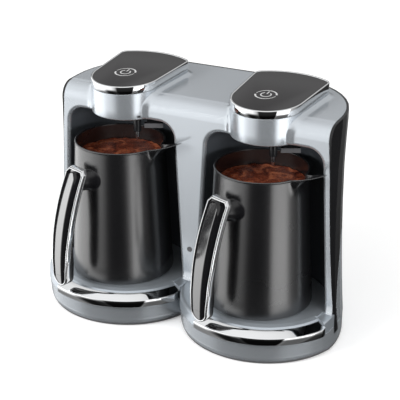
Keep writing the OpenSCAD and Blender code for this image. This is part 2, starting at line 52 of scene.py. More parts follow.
def makeCamera(s):
    data = bpy.data.cameras.new("shotCamera")
    data.sensor_width = s["sensor"]
    data.lens = s["lens"]
    data.clip_start, data.clip_end = s["clip"]
    cam = bpy.data.objects.new("shotCamera", data)
    scene.collection.objects.link(cam)
    yaw, pitch = math.radians(s["yaw"]), math.radians(s["pitch"])
    forward = Vector((-math.sin(yaw) * math.cos(pitch), math.cos(yaw) * math.cos(pitch), -math.sin(pitch)))
    cam.location = Vector(s["place"]) * mm
    cam.rotation_mode = "QUATERNION"
    cam.rotation_quaternion = forward.to_track_quat("-Z", "Y")
    scene.camera = cam


makeCamera(camera)


print("shader groups")


def newGroup(name, inputs, outputs):
    group = bpy.data.node_groups.new(name, "ShaderNodeTree")
    for label, kind, value in inputs:
        sock = group.interface.new_socket(label, in_out="INPUT", socket_type="NodeSocket" + kind)
        sock.default_value = value
    for label, kind in outputs:
        group.interface.new_socket(label, in_out="OUTPUT", socket_type="NodeSocket" + kind)
    return group, group.nodes.new("NodeGroupInput"), group.nodes.new("NodeGroupOutput")


def addNode(tree, kind, **values):
    node = tree.nodes.new(kind)
    for key, value in values.items():
        setattr(node, key, value)
    return node


def link(tree, a, b):
    tree.links.new(a, b)


def mathNode(tree, operation, a, b=None, clamp=False):
    node = addNode(tree, "ShaderNodeMath", operation=operation, use_clamp=clamp)
    for i, v in enumerate((a, b)):
        if v is None:
            continue
        if hasattr(v, "is_output"):
            link(tree, v, node.inputs[i])
        else:
            node.inputs[i].default_value = v
    return node.outputs[0]


# maps a value from one range to another
def rangeNode(tree, value, start, end, low=0.0, high=1.0, soft=False):
    node = addNode(tree, "ShaderNodeMapRange", interpolation_type="SMOOTHSTEP" if soft else "LINEAR")
    for label, level in (("From Min", start), ("From Max", end), ("To Min", low), ("To Max", high)):
        node.inputs[label].default_value = level
    link(tree, value, node.inputs["Value"])
    return node


# rounds hard edges in the shading only
def makeSoftEdge():
    g, gin, gout = newGroup("Soft Edge", [("Radius", "Float", 0.0005)], [("Normal", "Vector")])
    bevel = addNode(g, "ShaderNodeBevel", samples=6)
    link(g, gin.outputs["Radius"], bevel.inputs["Radius"])
    link(g, bevel.outputs["Normal"], gout.inputs["Normal"])
    return g


# bright where the surface turns sharply
def makeEdgeWear():
    inputs = [("Radius", "Float", 0.0008), ("Contrast", "Float", 4.0), ("Breakup", "Float", 60.0)]
    g, gin, gout = newGroup("Edge Wear", inputs, [("Mask", "Float")])
    bevel = addNode(g, "ShaderNodeBevel", samples=6)
    geo = addNode(g, "ShaderNodeNewGeometry")
    dot = addNode(g, "ShaderNodeVectorMath", operation="DOT_PRODUCT")
    coords = addNode(g, "ShaderNodeTexCoord")
    cloud = addNode(g, "ShaderNodeTexNoise")
    link(g, gin.outputs["Radius"], bevel.inputs["Radius"])
    link(g, bevel.outputs["Normal"], dot.inputs[0])
    link(g, geo.outputs["Normal"], dot.inputs[1])
    link(g, coords.outputs["Object"], cloud.inputs["Vector"])
    link(g, gin.outputs["Breakup"], cloud.inputs["Scale"])
    turn = mathNode(g, "SUBTRACT", 1.0, dot.outputs["Value"])
    edge = mathNode(g, "MULTIPLY", turn, gin.outputs["Contrast"], clamp=True)
    worn = mathNode(g, "MULTIPLY", edge, cloud.outputs[0], clamp=True)
    link(g, worn, gout.inputs["Mask"])
    return g


# fine moulded or sprayed grain
def makeGrain():
    inputs = [("Scale", "Float", 900.0), ("Detail", "Float", 3.0)]
    g, gin, gout = newGroup("Fine Grain", inputs, [("Height", "Float"), ("Mask", "Float")])
    coords = addNode(g, "ShaderNodeTexCoord")
    fine = addNode(g, "ShaderNodeTexNoise")
    wide = addNode(g, "ShaderNodeTexNoise")
    link(g, coords.outputs["Object"], fine.inputs["Vector"])
    link(g, coords.outputs["Object"], wide.inputs["Vector"])
    link(g, gin.outputs["Scale"], fine.inputs["Scale"])
    link(g, gin.outputs["Detail"], fine.inputs["Detail"])
    link(g, mathNode(g, "MULTIPLY", gin.outputs["Scale"], 0.02), wide.inputs["Scale"])
    link(g, fine.outputs[0], gout.inputs["Height"])
    link(g, wide.outputs[0], gout.inputs["Mask"])
    return g


# lines left by brushing or turning, stretched along one direction
def makeBrushed():
    inputs = [("Scale", "Vector", (40.0, 40.0, 2500.0))]
    g, gin, gout = newGroup("Brushed Lines", inputs, [("Height", "Float"), ("Mask", "Float")])
    coords = addNode(g, "ShaderNodeTexCoord")
    stretch = addNode(g, "ShaderNodeVectorMath", operation="MULTIPLY")
    lines = addNode(g, "ShaderNodeTexNoise")
    lines.inputs["Scale"].default_value = 1.0
    lines.inputs["Detail"].default_value = 4.0
    link(g, coords.outputs["Object"], stretch.inputs[0])
    link(g, gin.outputs["Scale"], stretch.inputs[1])
    link(g, stretch.outputs[0], lines.inputs["Vector"])
    link(g, lines.outputs[0], gout.inputs["Height"])
    link(g, rangeNode(g, lines.outputs[0], 0.3, 0.7).outputs[0], gout.inputs["Mask"])
    return g


# soft patches where hands and cloths have been
def makeSmudge():
    inputs = [("Scale", "Float", 18.0), ("Coverage", "Float", 0.5)]
    g, gin, gout = newGroup("Handling Marks", inputs, [("Mask", "Float")])
    coords = addNode(g, "ShaderNodeTexCoord")
    cloud = addNode(g, "ShaderNodeTexNoise")
    cloud.inputs["Detail"].default_value = 5.0
    cloud.inputs["Distortion"].default_value = 0.6
    link(g, coords.outputs["Object"], cloud.inputs["Vector"])
    link(g, gin.outputs["Scale"], cloud.inputs["Scale"])
    ramp = rangeNode(g, cloud.outputs[0], 0.5, 0.85, soft=True)
    link(g, mathNode(g, "SUBTRACT", 1.0, gin.outputs["Coverage"]), ramp.inputs["From Min"])
    link(g, ramp.outputs[0], gout.inputs["Mask"])
    return g


# metal flakes in lacquer, as tiny cells of differing brightness
def makeFlake():
    inputs = [("Scale", "Float", 4000.0), ("Light", "Color", (1, 1, 1, 1)), ("Dark", "Color", (0, 0, 0, 1))]
    g, gin, gout = newGroup("Metal Flake", inputs, [("Color", "Color"), ("Mask", "Float")])
    coords = addNode(g, "ShaderNodeTexCoord")
    cells = addNode(g, "ShaderNodeTexVoronoi")
    split = addNode(g, "ShaderNodeSeparateColor")
    mix = addNode(g, "ShaderNodeMix", data_type="RGBA")
    link(g, coords.outputs["Object"], cells.inputs["Vector"])
    link(g, gin.outputs["Scale"], cells.inputs["Scale"])
    link(g, cells.outputs["Color"], split.inputs[0])
    link(g, split.outputs[0], mix.inputs["Factor"])
    link(g, gin.outputs["Dark"], mix.inputs["A"])
    link(g, gin.outputs["Light"], mix.inputs["B"])
    link(g, mix.outputs["Result"], gout.inputs["Color"])
    link(g, split.outputs[0], gout.inputs["Mask"])
    return g


softEdge = makeSoftEdge()
edgeWear = makeEdgeWear()
fineGrain = makeGrain()
brushed = makeBrushed()
handling = makeSmudge()
metalFlake = makeFlake()


def useGroup(tree, group, **values):
    node = addNode(tree, "ShaderNodeGroup", node_tree=group)
    for key, value in values.items():
        node.inputs[key].default_value = value
    return node


def newMaterial(name):
    mat = bpy.data.materials.new(name)
    mat.use_nodes = True
    tree = mat.node_tree
    return mat, tree, tree.nodes["Principled BSDF"]


# stops of a colour ramp, from low to high
def fillRamp(ramp, stops):
    while len(ramp.elements) > 1:
        ramp.elements.remove(ramp.elements[-1])
    for k, (at, color) in enumerate(stops):
        stop = ramp.elements[0] if k == 0 else ramp.elements.new(at)
        stop.position, stop.color = at, color


def mapTo(tree, value, low, high):
    return rangeNode(tree, value, 0.0, 1.0, low, high).outputs[0]


def mixColors(tree, factor, a, b):
    mix = addNode(tree, "ShaderNodeMix", data_type="RGBA")
    link(tree, factor, mix.inputs["Factor"])
    for value, socket in ((a, mix.inputs["A"]), (b, mix.inputs["B"])):
        if hasattr(value, "is_output"):
            link(tree, value, socket)
        else:
            socket.default_value = (*value, 1)
    return mix.outputs["Result"]


# values of a surface that names no others, lengths in mm
surface = {
    "metallic": 0.0, "coat": 0.0, "coatRoughness": 0.05, "coatIor": 1.5, "ior": 1.5, "edge": 0.4,
    "grain": 900.0, "marks": 20.0, "bump": 0.1, "bumpDepth": 0.05, "wearRadius": 0.7}


# one builder for the coated, moulded and plated surfaces
def makeSurface(own):
    s = surface | own
    mat, tree, bsdf = newMaterial(s["name"])
    for label, key in (("Metallic", "metallic"), ("Coat Weight", "coat"), ("Coat Roughness", "coatRoughness"),
                       ("Coat IOR", "coatIor"), ("IOR", "ior")):
        bsdf.inputs[label].default_value = s[key]
    edge = useGroup(tree, softEdge, Radius=s["edge"] * mm)
    if "lines" in s:
        grain = useGroup(tree, brushed, Scale=s["lines"])
    else:
        grain = useGroup(tree, fineGrain, Scale=s["grain"])
    marks = useGroup(tree, handling, Scale=s["marks"])
    low, high = s["roughness"]
    link(tree, mapTo(tree, marks.outputs["Mask"], low, high), bsdf.inputs["Roughness"])
    if "flake" in s:
        flakes = useGroup(tree, metalFlake, Scale=s["flake"], Light=(*s["color"], 1), Dark=(*s["deep"], 1))
        color = flakes.outputs["Color"]
    else:
        color = mixColors(tree, grain.outputs["Mask"], s["deep"], s["color"])
    if "worn" in s:
        wear = useGroup(tree, edgeWear, Radius=s["wearRadius"] * mm)
        color = mixColors(tree, wear.outputs["Mask"], color, s["worn"])
    link(tree, color, bsdf.inputs["Base Color"])
    bump = addNode(tree, "ShaderNodeBump")
    bump.inputs["Strength"].default_value = s["bump"]
    bump.inputs["Distance"].default_value = s["bumpDepth"] * mm
    link(tree, grain.outputs["Height"], bump.inputs["Height"])
    link(tree, edge.outputs["Normal"], bump.inputs["Normal"])
    link(tree, bump.outputs["Normal"], bsdf.inputs["Normal"])
    return mat


print("materials")
silverMat = makeSurface({
    "name": "silverLacquer", "color": (0.62, 0.66, 0.7), "deep": (0.575, 0.615, 0.655), "metallic": 0.74,
    "roughness": (0.26, 0.3), "marks": 9.0, "flake": 6000.0, "bump": 0.012, "edge": 0.6})
deckMat = makeSurface({
    "name": "satinDeck", "color": (0.5, 0.545, 0.59), "deep": (0.45, 0.495, 0.54), "metallic": 0.7,
    "roughness": (0.33, 0.38), "marks": 9.0, "flake": 6000.0, "bump": 0.012, "edge": 0.5})
blackMat = makeSurface({
    "name": "blackHousing", "color": (0.008, 0.008, 0.009), "deep": (0.005, 0.005, 0.006),
    "roughness": (0.24, 0.3), "grain": 1400.0, "bump": 0.03, "edge": 0.5})
linerMat = makeSurface({
    "name": "nicheLiner", "color": (0.08, 0.089, 0.101), "deep": (0.067, 0.075, 0.085),
    "roughness": (0.38, 0.44), "grain": 1100.0, "bump": 0.04, "edge": 0.5})
chromeMat = makeSurface({
    "name": "brightChrome", "color": (0.9, 0.91, 0.92), "deep": (0.87, 0.88, 0.89), "metallic": 1.0,
    "roughness": (0.03, 0.05), "grain": 300.0, "bump": 0.004, "edge": 0.12})
glassMat = makeSurface({
    "name": "touchGlass", "color": (0.02, 0.019, 0.02), "deep": (0.016, 0.015, 0.016),
    "roughness": (0.1, 0.14), "ior": 1.42, "grain": 200.0, "bump": 0.004, "edge": 0.2})
inlayMat = makeSurface({
    "name": "handleLacquer", "color": (0.008, 0.008, 0.009), "deep": (0.006, 0.006, 0.007),
    "roughness": (0.1, 0.14), "coat": 1.0, "coatRoughness": 0.06, "coatIor": 1.62, "grain": 240.0,
    "bump": 0.004, "edge": 0.05})
potMat = makeSurface({
    "name": "potCoating", "color": (0.006, 0.006, 0.0066), "deep": (0.0044, 0.0044, 0.005),
    "roughness": (0.27, 0.31), "ior": 2.1, "marks": 12.0, "grain": 2600.0, "bump": 0.04, "edge": 0.4})
steelMat = makeSurface({
    "name": "brushedSteel", "color": (0.55, 0.55, 0.57), "deep": (0.44, 0.44, 0.46), "metallic": 1.0,
    "roughness": (0.25, 0.34), "lines": (3000.0, 60.0, 60.0), "bump": 0.1, "edge": 0.3})
plateMat = makeSurface({
    "name": "heaterPlate", "color": (0.3, 0.32, 0.34), "deep": (0.24, 0.26, 0.28), "metallic": 0.6,
    "roughness": (0.35, 0.45), "lines": (200.0, 200.0, 2500.0), "bump": 0.08, "edge": 0.4})
greyMat = makeSurface({
    "name": "greyPlastic", "color": (0.12, 0.12, 0.125), "deep": (0.095, 0.095, 0.1), "roughness": (0.3, 0.4),
    "grain": 1200.0, "bump": 0.08, "edge": 0.3})
paleMat = makeSurface({
    "name": "palePlastic", "color": (0.7, 0.68, 0.62), "deep": (0.62, 0.6, 0.55), "roughness": (0.4, 0.5),
    "grain": 1000.0, "bump": 0.1})
boardMat = makeSurface({
    "name": "circuitBoard", "color": (0.02, 0.1, 0.05), "deep": (0.015, 0.07, 0.035),
    "roughness": (0.3, 0.45), "grain": 600.0, "bump": 0.1})
rubberMat = makeSurface({
    "name": "footRubber", "color": (0.02, 0.02, 0.02), "deep": (0.012, 0.012, 0.012),
    "roughness": (0.7, 0.85), "grain": 800.0, "bump": 0.3, "worn": (0.05, 0.05, 0.05)})
iconMat = makeSurface({
    "name": "printedIcon", "color": (0.6, 0.6, 0.6), "deep": (0.54, 0.54, 0.54), "roughness": (0.3, 0.4),
    "grain": 900.0, "bump": 0.02, "edge": 0.05})

nodeMats = {
    "front_shell": silverMat, "lower_housing": silverMat, "base_shell": silverMat, "head_cover": silverMat,
    "deck": deckMat, "rear_housing": blackMat, "niche_liner": linerMat, "base_ring": chromeMat,
    "chrome_band": chromeMat, "handle_frame": chromeMat, "touch_panel": glassMat, "handle_inlay": inlayMat,
    "handle_grip": blackMat, "handle_boss": blackMat, "probe_sleeve": blackMat, "cord_gland": rubberMat,
    "pot_body": potMat, "probe_tip": steelMat, "handle_screw": steelMat, "housing_screws": steelMat,
    "heater_plate": plateMat, "heating_element": steelMat, "thermostat": steelMat, "bottom_cover": greyMat,
    "screw_plug": greyMat, "sensor_window": greyMat, "board_parts": greyMat, "terminal_block": paleMat,
    "light_guide": paleMat, "touch_board": boardMat, "power_board": boardMat, "rubber_feet": rubberMat,
}
sharpAngle = math.radians(28)
stemFoot = 157 * mm
for nodeName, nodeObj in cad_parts.items():
    key = nodeName.replace("_left", "").replace("_right", "")
    nodeObj.data.materials.clear()
    nodeObj.data.materials.append(nodeMats[key])
    # rounds read as round, corners stay sharp
    nodeObj.data.shade_smooth()
    nodeObj.data.set_sharp_from_angle(angle=sharpAngle)
    if key == "sensor_window":
        # only the bar at its foot is pale; its stem is painted black as painted shade, standing in for the
        # shadow under the niche's ceiling
        nodeObj.data.materials.append(blackMat)
        for poly in nodeObj.data.polygons:
            poly.material_index = 1 if poly.center.z > stemFoot else 0


# helpers that the pieces share
def lerp(a, b, t):
    return a + (b - a) * t


def smooth(low, high, v):
    t = min(1.0, max(0.0, (v - low) / (high - low)))
    return t * t * (3 - 2 * t)


# points of an arc, angles in degrees
def arc(cx, cy, r, start, end, steps):
    return [(cx + r * math.cos(math.radians(lerp(start, end, i / steps))),
             cy + r * math.sin(math.radians(lerp(start, end, i / steps)))) for i in range(steps + 1)]


def addPiece(name, bm, body, mats, sharp=32, tidy=False):
    if tidy:
        bmesh.ops.recalc_face_normals(bm, faces=bm.faces)
    mesh = bpy.data.meshes.new(name)
    bm.normal_update()
    bm.to_mesh(mesh)
    bm.free()
    mesh.shade_smooth()
    mesh.set_sharp_from_angle(angle=math.radians(sharp))
    obj = bpy.data.objects.new(name, mesh)
    scene.collection.objects.link(obj)
    for mat in mats if isinstance(mats, list) else [mats]:
        mesh.materials.append(mat)
    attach(obj, body)
    return obj


# skin through equal rows of points in mm; spans names the material of each span between rows
def loft(bm, rows, wrap=True, spans=None):
    made = [[bm.verts.new(Vector(p) * mm) for p in row] for row in rows]
    n = len(rows[0])
    for k, (a, b) in enumerate(zip(made, made[1:])):
        for i in range(n if wrap else n - 1):
            j = (i + 1) % n
            face = bm.faces.new((a[i], a[j], b[j], b[i]))
            if spans:
                face.material_index = spans[k]
    return made


print("pots")
pot = {
    "bottom": 42.1, "rim": 36.5, "low": 29.8, "high": 141.6, "wall": 1.2, "foot": 1.0, "reach": 61.0,
    "tip": 150.0, "start": 125.0, "width": 8.6, "fall": 2.6, "lift": 1.3, "bend": 2.3,
    "turn": {"left": 7.5, "right": 16.0}, "footFlat": 12, "rows": (45, 70, 100), "steps": 16,
    "lip": [(1.5, 0), (1.1, -0.3), (0.6, -0.45), (0.2, -0.35), (0, 0), (0, 0.6), (0.25, 1.0), (0.8, 1.2)],
    "cove": 34.2, "floor": 32.0, "floorInset": 3.2, "floorMiddle": 8}


def potRadius(z, s=pot):
    return lerp(s["bottom"], s["rim"], (z - s["low"]) / (s["high"] - s["low"]))


# how much of the spout's reach is there at an angle from its middle
def spoutShare(a, s=pot):
    return math.exp(-(abs(a) / s["width"]) ** s["fall"])


def makePot(side, s):
    # one degree apart at the spout, four elsewhere
    angles = [*range(-40, 40), *range(40, 320, 4)]
    cx, turn = stations[side], math.radians(s["turn"][side])

    def put(r, b, z):
        a = math.radians(b) - turn
        return (cx + r * math.cos(a), axisY + r * math.sin(a), z)

    def near(b):
        return b - 360 if b > 180 else b

    def plainRow(r, z):
        return [put(r, b, z) for b in angles]

    # row of the upper wall, t from 0 where the spout starts to 1 at the rim
    def wallRow(t, drop, inset):
        row = []
        for b in angles:
            share = spoutShare(near(b))
            rimHigh = s["high"] + (s["tip"] - s["high"]) * share ** s["lift"]
            z = lerp(s["start"], rimHigh, t) - drop
            up = max(0, (z - s["start"]) / (rimHigh - s["start"]))
            r = potRadius(min(z, s["high"])) + (s["reach"] - s["rim"]) * up ** s["bend"] * share - inset
            row.append(put(r, b, z))
        return row

    f = s["foot"]
    steps = [k / s["steps"] for k in range(s["steps"])]
    rows = [plainRow(s["bottom"] - f - s["footFlat"], s["low"])]
    rows += [plainRow(s["bottom"] - f + x, s["low"] + f + y) for x, y in arc(0, 0, f, -90, 0, 5)]
    rows += [plainRow(potRadius(z), z) for z in s["rows"]]
    rows += [wallRow(t, 0, 0) for t in steps]
    # rounded rim, outer side, top and inner side
    rows += [wallRow(1, drop, inset) for drop, inset in s["lip"]]
    rows += [wallRow(t, 0, s["wall"]) for t in reversed(steps)]
    rows += [plainRow(potRadius(z) - s["wall"], z) for z in (*reversed(s["rows"]), s["cove"])]
    rows += [plainRow(s["bottom"] - s["floorInset"], s["floor"]), plainRow(s["floorMiddle"], s["floor"])]
    bm = bmesh.new()
    made = loft(bm, rows)
    bm.faces.new(made[0])
    bm.faces.new(made[-1])
    obj = addPiece("pot_shell_" + side, bm, "pot_" + side, potMat, tidy=True)
    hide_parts("pot_body_" + side)


for side in stations:
    makePot(side, pot)


print("handles")
handle = {
    "turn": 251.5, "arc": 193.0, "out": 68.35, "mid": 40.0, "low": 32.5, "end": 8.8,
    "widths": [(40.3, 8.8), (58, 9.9), (80, 10.7), (100, 10.8), (124.8, 10.5), (128, 7.4)], "shift": 1.0,
    "frame": [(1.5, 1.5), (1.5, 0.3), (1.42, 0.08), (1.2, 0), (0.95, 0), (0.8, 0.15), (0.75, 0.8), (0.4, 0.8),
              (0.35, 0.4), (0.12, 0.5), (0, 0.8), (0, 4.2), (0.2, 4.5), (0.6, 4.6)],
    "groove": (6, 7), "depth": (8.8, 5.6), "taper": (2.4, 10.4), "clear": 1.2, "weld": 0.002,
    "grip": [(0.6, 4.6, 0), (0.35, 4.75, 0), (0.35, -0.8, 1), (0.8, -0.25, 1), (1.8, 0, 1)],
    "backRows": (0.75, 0.5, 0.25, 0.0), "faceInset": 1.55, "faceEdge": 1.4, "faceDepth": (0.3, 0.8),
    "faceRows": (1, 0.86, 0.72, 0.58, 0.44, 0.3, 0.2, 0.14, 0.1, 0.07, 0.04, 0),
    "crown": {"split": 0.2, "blur": 0.06, "half": 8, "left": -12.0, "right": 35.0, "rise": 4.0},
    "steps": {"foot": 48, "side": 20, "top": 8}, "cornerFrom": 124, "straightFrom": 97, "bossHigh": 117.5,
    "bossAt": 10.0, "bossSides": 64, "bossOnWall": 5, "bossTurn": -30.0, "bossSlim": 0.76,
    "boss": [(-0.3, 9.0), (0.9, 9.0), (1.25, 8.85), (1.4, 8.5), (1.45, 8.25), (3.0, 8.15), (14.0, 8.15)]}


def gripDepth(z, s=handle):
    a = math.degrees(math.asin((z - s["mid"]) / s["arc"]))
    return lerp(*s["depth"], smooth(*s["taper"], a))


def handleOutline(s, inset):
    points = arc(0, s["low"] + s["end"], s["end"], 180, 360, s["steps"]["foot"])
    right, last = [], s["widths"][0]
    for z, w in s["widths"][1:]:
        steps = s["steps"]["side" if z < s["cornerFrom"] else "top"]
        for k in range(1, steps + 1):
            t = k / steps
            bend = smooth(0, 1, t) if z < s["straightFrom"] else t
            right.append((lerp(last[1], w, bend), lerp(last[0], z, t)))
        last = (z, w)
    points += right + [(-w, z) for w, z in reversed(right)]
    out = []
    n = len(points)
    for i, (w, z) in enumerate(points):
        (w0, z0), (w1, z1) = points[i - 1], points[(i + 1) % n]
        size = math.hypot(w1 - w0, z1 - z0)
        out.append((w - (z1 - z0) / size * inset, z + (w1 - w0) / size * inset))
    return out


def makeHandle(side, s):
    cx, turn = stations[side], math.radians(s["turn"])

    def put(w, z, depth, clear=0.0):
        w += s["shift"]
        r = s["out"] - s["arc"] + math.sqrt((s["arc"] - depth) ** 2 - (z - s["mid"]) ** 2)
        if clear:
            r = max(r, potRadius(z) + clear)
        return (cx + r * math.cos(turn) - w * math.sin(turn),
                axisY + r * math.sin(turn) + w * math.cos(turn), z)

    bm = bmesh.new()
    first, last = s["groove"]
    spans = [1 if first <= k < last else 0 for k in range(len(s["frame"]) - 1)]
    rows = [[put(w, z, depth) for w, z in handleOutline(s, inset)] for inset, depth in s["frame"]]
    loft(bm, rows, spans=spans)
    trim = addPiece("handle_trim_" + side, bm, "pot_" + side, [chromeMat, blackMat], sharp=40)
    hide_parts("handle_frame_" + side)

    # glossy face, with a soft fold along it in the shading
    bm = bmesh.new()
    edge = handleOutline(s, s["faceInset"])
    rows = [[put(w, z, s["faceEdge"]) for w, z in edge]]
    rows += [[put(w * across, z, lerp(*s["faceDepth"], across ** 2)) for w, z in edge]
             for across in s["faceRows"]]
    loft(bm, rows)
    bmesh.ops.remove_doubles(bm, verts=bm.verts, dist=s["weld"] * mm)
    bmesh.ops.recalc_face_normals(bm, faces=bm.faces)
    outward = Vector((math.cos(turn), math.sin(turn), 0))
    if sum(f.normal.dot(outward) for f in bm.faces) < 0:
        bmesh.ops.reverse_faces(bm, faces=bm.faces)
    face = addPiece("handle_face_" + side, bm, "pot_" + side, inlayMat, sharp=180)
    crown = s["crown"]
    rise = math.radians(crown["rise"])
    normals = []
    for v in face.data.vertices:
        x, y = v.co.x / mm - cx, v.co.y / mm - axisY
        w = -x * math.sin(turn) + y * math.cos(turn) - s["shift"]
        share = smooth(crown["split"] - crown["blur"], crown["split"] + crown["blur"], w / crown["half"])
        a = turn + math.radians(lerp(crown["left"], crown["right"], share))
        normals.append((math.cos(a) * math.cos(rise), math.sin(a) * math.cos(rise), math.sin(rise)))
    face.data.normals_split_custom_set_from_vertices(normals)
    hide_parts("handle_inlay_" + side)

    bm = bmesh.new()
    rows = [[put(w, z, depth + gripDepth(z) * deep, s["clear"]) for w, z in handleOutline(s, inset)]
            for inset, depth, deep in s["grip"]]
    inner = handleOutline(s, s["grip"][-1][0])
    rows += [[put(w * across, z, gripDepth(z), s["clear"]) for w, z in inner]
             for across in s["backRows"]]
    loft(bm, rows)
    bmesh.ops.remove_doubles(bm, verts=bm.verts, dist=s["weld"] * mm)
    grip = addPiece("handle_back_" + side, bm, "pot_" + side, blackMat, sharp=50)
    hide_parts("handle_grip_" + side)

    # neck between the pot's wall and the handle
    start, wall = turn + math.radians(s["bossAt"]), potRadius(s["bossHigh"])
    base = Vector((wall * math.cos(start), wall * math.sin(start), s["bossHigh"]))
    a = turn + math.radians(s["bossTurn"])
    along, across = Vector((math.cos(a), math.sin(a), 0)), Vector((-math.sin(a), math.cos(a), 0))
    bm = bmesh.new()
    rows = []
    for k, (far, radius) in enumerate(s["boss"]):
        row = []
        for i in range(s["bossSides"]):
            b = 2 * math.pi * i / s["bossSides"]
            spoke = base + across * radius * s["bossSlim"] * math.cos(b)
            spoke.z += radius * math.sin(b)
            # where this line along the neck meets the pot's wall
            meet = 0.0
            for tries in range(10):
                p = spoke + along * meet
                meet -= math.hypot(p.x, p.y) - potRadius(p.z)
            p = spoke + along * (meet + far if k < s["bossOnWall"] else max(far, meet + far))
            row.append((cx + p.x, axisY + p.y, p.z))
        rows.append(row)
    loft(bm, rows)
    boss = addPiece("handle_neck_" + side, bm, "pot_" + side, blackMat, sharp=60, tidy=True)
    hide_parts("handle_boss_" + side)


for side in stations:
    makeHandle(side, handle)


print("heads")
head = {
    "shift": {"left": -1.7, "right": -3.4}, "round": 29.3, "roundY": 16.4, "rearX": 25.0, "rearR": 7.0,
    "bow": 62.0, "end": 71.0, "panelZ": 189.9, "tilt": 4.6, "low": 161.3, "band": 6.2, "steps": (120, 14, 40),
    "glassRows": [(1.62, 1.2), (1.62, 0.36), (1.72, 0.3)],
    "footRows": [(0.9, 0), (0.4, 0.1), (0.12, 0.35), (0, 0.8)], "footTurn": (0.6, 3.0), "roofSink": 1.0,
    "wallRows": (0.35, 0.7, 1.0), "wallTop": 0.25, "lipInset": 0.6, "lipDrop": 0.3,
    "under": {"inset": 0.9, "front": 0.8, "back": 0.9, "rows": (0, 0.33, 0.66, 1)}, "weld": 0.001,
    "bandRows": [(0.5, 6.25), (0.1, 6.2), (0, 6.05), (0, 0.6), (0.12, 0.22), (0.4, 0.02), (0.7, 0), (1.15, 0),
                 (1.45, 0.08), (1.6, 0.3), (1.6, 1.0)]}


def headOutline(inset, s=head):
    r, ry, bx, br, bow, end = (s[k] for k in ("round", "roundY", "rearX", "rearR", "bow", "end"))
    frontSteps, sideSteps, backSteps = s["steps"]
    by = end - bow + math.sqrt((bow - br) ** 2 - bx ** 2)
    flank = math.degrees(math.atan2(by - ry, bx) - math.acos((r - br) / math.hypot(bx, by - ry)))
    rear = math.degrees(math.atan2(by - end + bow, bx))
    return (arc(0, ry, r - inset, 180 - flank, 360 + flank, frontSteps)
            + arc(bx, by, br - inset, flank, rear, sideSteps)
            + arc(0, end - bow, bow - inset, rear + 1, 179 - rear, backSteps)
            + arc(-bx, by, br - inset, 180 - rear, 180 - flank, sideSteps))


def panelHeight(y, s=head):
    return s["panelZ"] + y * math.tan(math.radians(s["tilt"]))


shell = {
    "face": 0.5, "roll": 12.0, "roof": 180.5, "slope": 0.05, "back": 88.5, "topWidth": 118.4, "flare": 12.0,
    "low": 18.3, "deck": 28.2, "deckFillet": 6.0, "headFillet": 4.0, "edge": 3.0, "nicheLow": 55.6,
    "nicheHigh": 48.2, "ceiling": 161.0, "corner": 13.0, "nicheZ": 29.3, "plan": (87, 72, 66), "waistZ": 140,
    "waistHigh": 35, "inset": (0.4, 2.1), "hollow": 0.55, "headFilletZ": (159.5, 162.5), "wallPoints": 44,
    "sidePoints": 10, "bendPoints": 20, "topPoints": 52, "sideStart": 3, "edgeSteps": 8, "bands": 18,
    "rollSteps": 28, "rollEnd": 92.86, "roofSteps": 60, "roofEase": 1.15, "roofAbove": 178, "weld": 0.02,
    "sheet": 1.4}


def roofHeight(y, s=shell):
    return s["roof"] + s["slope"] * y


def makeHead(side, s):
    cx = stations[side] + s["shift"][side]

    def put(x, y, z):
        return (cx + x, axisY + y, z)

    # depth under the panel's plane
    def layer(inset, depth):
        return [put(x, y, panelHeight(y) - depth) for x, y in headOutline(inset)]

    bm = bmesh.new()
    loft(bm, [layer(*row) for row in s["bandRows"]])
    band = addPiece("head_band_" + side, bm, "machine", chromeMat, sharp=50, tidy=True)
    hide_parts("chrome_band_" + side)

    bm = bmesh.new()
    made = loft(bm, [layer(*row) for row in s["glassRows"]])
    bm.faces.new(made[-1])
    panel = addPiece("head_glass_" + side, bm, "machine", glassMat, sharp=30, tidy=True)
    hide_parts("touch_panel_" + side)

    # walls down to the roof, and down past the face in front
    def foot(y, lift):
        return lerp(s["low"] + lift, roofHeight(y) - s["roofSink"], smooth(*s["footTurn"], y))

    bm = bmesh.new()
    rows = [[put(x, y, foot(y, lift)) for x, y in headOutline(inset)] for inset, lift in s["footRows"]]
    lastLift = s["footRows"][-1][1]
    rows += [[put(x, y, lerp(foot(y, lastLift), panelHeight(y) - s["band"] - s["wallTop"], t))
              for x, y in headOutline(0)] for t in s["wallRows"]]
    rows.append(layer(s["lipInset"], s["band"] + s["lipDrop"]))
    loft(bm, rows)
    # underside of the part in front of the shell
    under = s["under"]
    edge = [(x, y) for x, y in headOutline(under["inset"]) if y < under["front"]]
    rows = [[put(x, lerp(y, under["back"], t), s["low"]) for x, y in edge] for t in under["rows"]]
    loft(bm, rows, wrap=False)
    bmesh.ops.remove_doubles(bm, verts=bm.verts, dist=s["weld"] * mm)
    cover = addPiece("head_wall_" + side, bm, "machine", silverMat, sharp=40)
    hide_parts("head_cover_" + side)


for side in stations:
    makeHead(side, head)


print("front shell")


# distance from a point to the nearest head's outline, negative inside; tiny guards against points that meet
def headDistance(x, y, outlines, tiny=1e-12):
    best = math.inf
    for points in outlines:
        inside, near = False, math.inf
        n = len(points)
        for i in range(n):
            (x0, y0), (x1, y1) = points[i - 1], points[i]
            dx, dy = x1 - x0, y1 - y0
            t = min(1, max(0, ((x - x0) * dx + (y - y0) * dy) / (dx * dx + dy * dy + tiny)))
            near = min(near, math.hypot(x - x0 - t * dx, y - y0 - t * dy))
            if (y0 > y) != (y1 > y) and x < x0 + (y - y0) * dx / dy:
                inside = not inside
        best = min(best, -near if inside else near)
    return best


# rise of a hollow fillet, a soft parabola, at a distance from the wall it runs up
def filletRise(d, r, s=shell):
    return s["hollow"] * r * max(0.0, 1 - max(0.0, d) / r) ** 2


